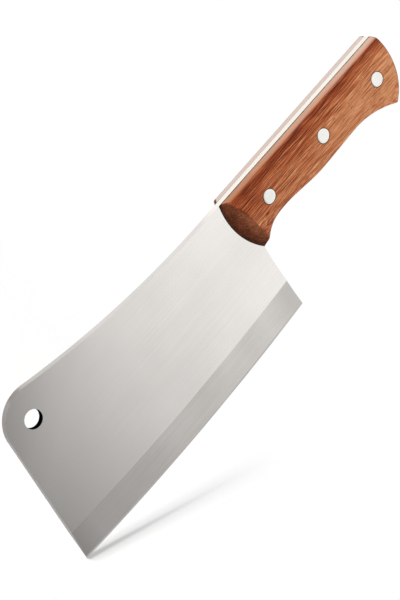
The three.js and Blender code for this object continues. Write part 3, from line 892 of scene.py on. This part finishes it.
def softbox(name, place, size, watts):
    """A square lamp that the steel doesn't mirror."""
    deselect()
    bpy.ops.object.light_add(type="AREA", location=place)
    lamp = bpy.context.object
    lamp.name = name
    lamp.data.shape = "SQUARE"
    lamp.data.size = size
    lamp.data.energy = watts
    lamp.visible_glossy = False
    lamp.rotation_euler = (LAMP_AIM - place).to_track_quat("-Z", "Y").to_euler()


# The overhead softbox stands in the blade's own plane, so that the blade's shadow is a thin line
BLADE_OUT = Vector((0.0, 0.0, 1.0))
FOOT_LINE = ROOM_UP.cross(BLADE_OUT).normalized()
FOOT_OUT = FOOT_LINE.cross(ROOM_UP)
BLADE_UP = BLADE_OUT.cross(FOOT_LINE)
LAMP_TILT = math.radians(18)
LAMP_REACH = 1.6
overhead = BLADE_UP * math.cos(LAMP_TILT) - FOOT_LINE * math.sin(LAMP_TILT)
softbox("overhead_softbox", TOE + overhead * LAMP_REACH, size=0.16, watts=20.0)
softbox("front_softbox", room(right=0.45, up=0.3, front=1.3), size=0.9, watts=14.5)

# The card lies under the toe and behind it, level in the room, and fades into the white studio
CARD_ENDS = (-0.3, 0.22)
CARD_FRONT = 0.012
CARD_BACK = -0.7
CARD_FADE = (-0.014, 0.125)
deselect()
bpy.ops.mesh.primitive_plane_add(size=1)
card = bpy.context.object
card.name = "white_card"
for vertex in card.data.vertices:
    along = CARD_ENDS[1] if vertex.co.x > 0 else CARD_ENDS[0]
    out = CARD_BACK if vertex.co.y > 0 else CARD_FRONT
    vertex.co = TOE + FOOT_LINE * along + FOOT_OUT * out
paper, tree = new_material("white_card_paper")
sheet = add(tree, "ShaderNodeBsdfPrincipled", {"Base Color": colour("#F8F8F7"), "Roughness": 0.9})
clear = add(tree, "ShaderNodeBsdfTransparent")
below = add(tree, "ShaderNodeNewGeometry").outputs["Backfacing"]
place = add(tree, "ShaderNodeTexCoord").outputs["Object"]
foot = {0: place, 1: FOOT_LINE}
from_middle = add(tree, "ShaderNodeVectorMath", foot, operation="DOT_PRODUCT").outputs["Value"]
start = TOE.dot(FOOT_LINE)
fade = {"Value": from_middle, "From Min": start + CARD_FADE[0], "From Max": start + CARD_FADE[1]}
faded = add(tree, "ShaderNodeMapRange", fade).outputs[0]
gone = add(tree, "ShaderNodeMath", {0: below, 1: faded}, operation="MAXIMUM").outputs[0]
shader = add(tree, "ShaderNodeMixShader", {0: gone, 1: sheet.outputs[0], 2: clear.outputs[0]})
add(tree, "ShaderNodeOutputMaterial", {"Surface": shader.outputs[0]})
card.data.materials.append(paper)
card.visible_glossy = False

# White studio, dark only low in front, which the blade mirrors towards its toe
WHITE_SIDE = Vector((0.58, 0.41, -0.70)).normalized()
DARK_UP_TO = -0.785  # along the white side's direction
WHITE_FROM = -0.57
DARKEST = 0.05
MATT_LIGHT = 0.3  # strength of the studio's light on matt surfaces
world = bpy.data.worlds.new("white_studio")
bpy.context.scene.world = world
world.use_nodes = True
tree = world.node_tree
tree.nodes.clear()
direction = add(tree, "ShaderNodeTexCoord").outputs["Generated"]
sideways = {0: direction, 1: WHITE_SIDE}
towards = add(tree, "ShaderNodeVectorMath", sideways, operation="DOT_PRODUCT").outputs["Value"]
gradient = {"Value": towards, "From Min": DARK_UP_TO, "From Max": WHITE_FROM, "To Min": DARKEST}
backdrop = add(tree, "ShaderNodeMapRange", gradient, interpolation_type="SMOOTHSTEP").outputs[0]
path = add(tree, "ShaderNodeLightPath").outputs
bent_rays = {0: path["Is Glossy Ray"], 1: path["Is Transmission Ray"]}
mirrored = add(tree, "ShaderNodeMath", bent_rays, operation="ADD").outputs[0]
all_rays = {0: mirrored, 1: path["Is Camera Ray"]}
shown = add(tree, "ShaderNodeMath", all_rays, operation="ADD", use_clamp=True).outputs[0]
strengths = {0: shown, 2: MATT_LIGHT, 3: backdrop}
strength = add(tree, "ShaderNodeMix", strengths, data_type="FLOAT").outputs[0]
glow = add(tree, "ShaderNodeBackground", {"Color": colour("#FFFFFF"), "Strength": strength})
add(tree, "ShaderNodeOutputWorld", {"Surface": glow.outputs[0]})

bpy.context.scene.view_settings.view_transform = "Standard"
